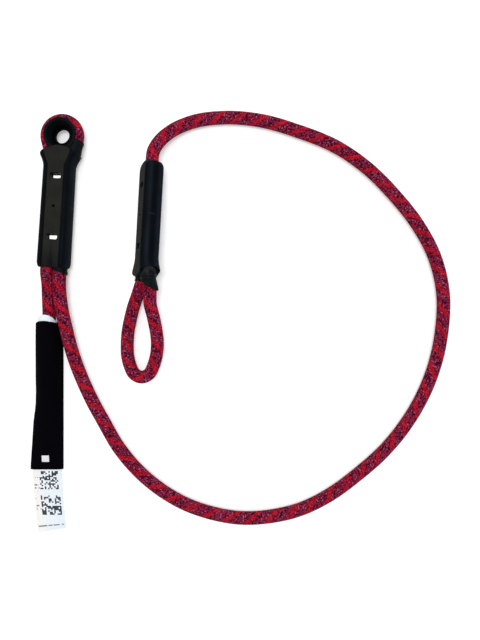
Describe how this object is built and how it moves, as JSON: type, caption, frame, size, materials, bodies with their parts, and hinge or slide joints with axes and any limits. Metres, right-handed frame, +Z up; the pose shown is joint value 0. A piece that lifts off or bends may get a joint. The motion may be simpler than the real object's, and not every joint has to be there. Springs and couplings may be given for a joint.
{
  "type": "rope tie-off sling",
  "caption": "Rope lanyard with a sewn thimble eye and a sewn soft eye under moulded covers; the rope's tail carries a label inside a fabric sleeve that slides along it.",
  "frame": {"origin": "centre of the bounding box, on the plane that the sling lies on", "axes": "+Z up from the plane that the sling lies on; +Y from the label towards the thimble eye"},
  "size_m": [0.3635, 0.3651, 0.0334],
  "materials": {
    "rope": "braided polyamide sheath",
    "cover_plastic": "fine moulded grain",
    "thimble_plastic": "smooth moulded",
    "shrink_tube": "satin",
    "thread": "bar-tacked thread",
    "label": "printed woven tape",
    "sleeve_fabric": "matt knitted tube"
  },
  "bodies": {
    "sling": {"thimble": "thimble_plastic", "thimble_eye_rope": "rope", "tail_rope": "rope", "main_rope": "rope", "soft_eye_rope": "rope", "thimble_cover": "cover_plastic", "soft_eye_cover": "cover_plastic", "thimble_sewn_legs": "rope", "soft_eye_sewn_legs": "rope", "thimble_tack_lower": "thread", "thimble_tack_upper": "thread", "soft_eye_tack_lower": "thread", "soft_eye_tack_upper": "thread", "thimble_crotch_band": "shrink_tube", "soft_eye_crotch_band": "shrink_tube", "thimble_leg_tube": "shrink_tube", "soft_eye_leg_tube": "shrink_tube", "soft_eye_lower_tube": "shrink_tube", "main_leg_collar": "shrink_tube", "id_label": "label"},
    "sleeve": {"label_sleeve": "sleeve_fabric"}
  },
  "joints": [
    {"name": "sleeve_slide", "type": "slide", "parent": "sling", "child": "sleeve", "axis": [0, -1, 0], "range_m": [0, 0.01]}
  ]
}
